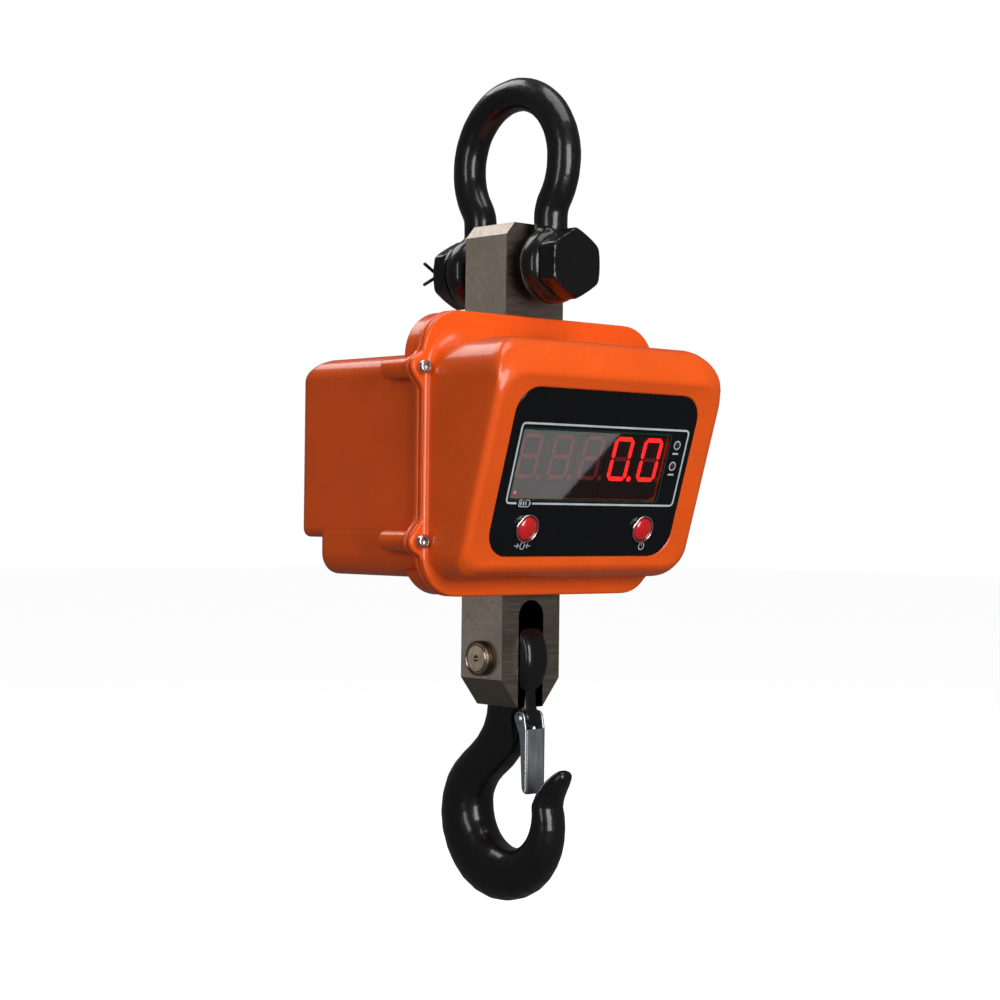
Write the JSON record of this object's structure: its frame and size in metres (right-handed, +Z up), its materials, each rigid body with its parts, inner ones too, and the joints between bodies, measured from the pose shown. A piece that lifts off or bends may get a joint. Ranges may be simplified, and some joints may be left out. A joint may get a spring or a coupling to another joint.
{
  "type": "crane scale",
  "caption": "Hanging crane scale: bow shackle, steel load bar in an orange two-part housing with a tilted LED readout, and an eye hook with a gate.",
  "frame": {"origin": "inside of the shackle's crown, the point the scale hangs from", "axes": "+Z up along the line of pull, the readout faces -Y, +X to the right of someone reading it"},
  "size_m": [0.22, 0.2019, 0.5308],
  "materials": {
    "black_paint": "thick gloss black paint over forged steel",
    "black_bolt": "gloss black paint over a hot-forged bolt",
    "dark_steel": "oiled spring steel",
    "nickel_steel": "ground and nickel plated alloy steel",
    "turned_steel": "turned, nickel plated",
    "zinc_plate": "bright zinc plate, bluish",
    "orange_paint": "gloss orange powder coat over die-cast aluminium",
    "black_rubber": "matt rubber",
    "stainless": "stainless cap screws",
    "panel_film": "satin black printed film",
    "smoked_window": "smoked red acrylic",
    "circuit_board": "green solder mask",
    "led_digits": "red seven-segment modules",
    "lamp_red": "red diffused lamps",
    "brass_spacer": "turned brass",
    "chrome_ring": "bright chromed bezel",
    "black_plastic": "moulded nylon",
    "button_red": "translucent red domed cap",
    "battery_case": "dark grey battery case"
  },
  "bodies": {
    "shackle": {"shackle_bow": "black_paint", "shackle_bolt": "black_bolt", "shackle_nut": "black_bolt", "shackle_washer": "black_bolt", "shackle_cotter": "dark_steel"},
    "scale": {"load_bar": "nickel_steel", "gauge_covers": "nickel_steel", "hook_pin": "turned_steel", "pin_retainer": "dark_steel", "front_cover": "orange_paint", "rear_cover": "orange_paint", "cover_gasket": "black_rubber", "cover_screws": "stainless", "top_seal": "black_rubber", "bottom_seal": "black_rubber", "frame_plate": "zinc_plate", "frame_screws": "stainless", "front_panel": "panel_film", "display_window": "smoked_window", "display_board": "circuit_board", "display_digits": "led_digits", "status_lamps": "lamp_red", "main_board": "circuit_board", "board_spacers": "brass_spacer", "board_screws": "stainless", "button_bezels": "chrome_ring", "bezel_nuts": "zinc_plate", "switch_bodies": "black_plastic", "battery": "battery_case", "battery_pad": "black_rubber", "battery_strap": "zinc_plate", "strap_screws": "stainless", "battery_door": "orange_paint", "door_gasket": "black_rubber", "door_screws": "stainless", "charge_socket": "black_plastic", "socket_cap": "black_rubber", "sensor_cable": "black_rubber", "cable_gland": "black_rubber"},
    "hook": {"hook": "black_paint", "gate_pin": "zinc_plate"},
    "gate": {"gate": "zinc_plate"},
    "tare_button": {"tare_button": "button_red"},
    "power_button": {"power_button": "button_red"}
  },
  "joints": [
    {"name": "shackle_swing", "type": "hinge", "parent": "shackle", "child": "scale", "pos_m": [0, 0, -0.1025], "axis": [0, 1, 0], "range_deg": [-90, 90]},
    {"name": "hook_swing", "type": "hinge", "parent": "scale", "child": "hook", "pos_m": [0, 0, -0.3525], "axis": [1, 0, 0], "range_deg": [-45, 45]},
    {"name": "gate_swing", "type": "hinge", "parent": "hook", "child": "gate", "pos_m": [0, -0.0185, -0.3905], "axis": [1, 0, 0], "range_deg": [-7, 24]},
    {"name": "tare_press", "type": "slide", "parent": "scale", "child": "tare_button", "axis": [0, 0.9563, 0.2924], "range_m": [0, 0.0015], "stiffness_N_per_m": 600, "springref_m": -0.001},
    {"name": "power_press", "type": "slide", "parent": "scale", "child": "power_button", "axis": [0, 0.9563, 0.2924], "range_m": [0, 0.0015], "stiffness_N_per_m": 600, "springref_m": -0.001}
  ]
}
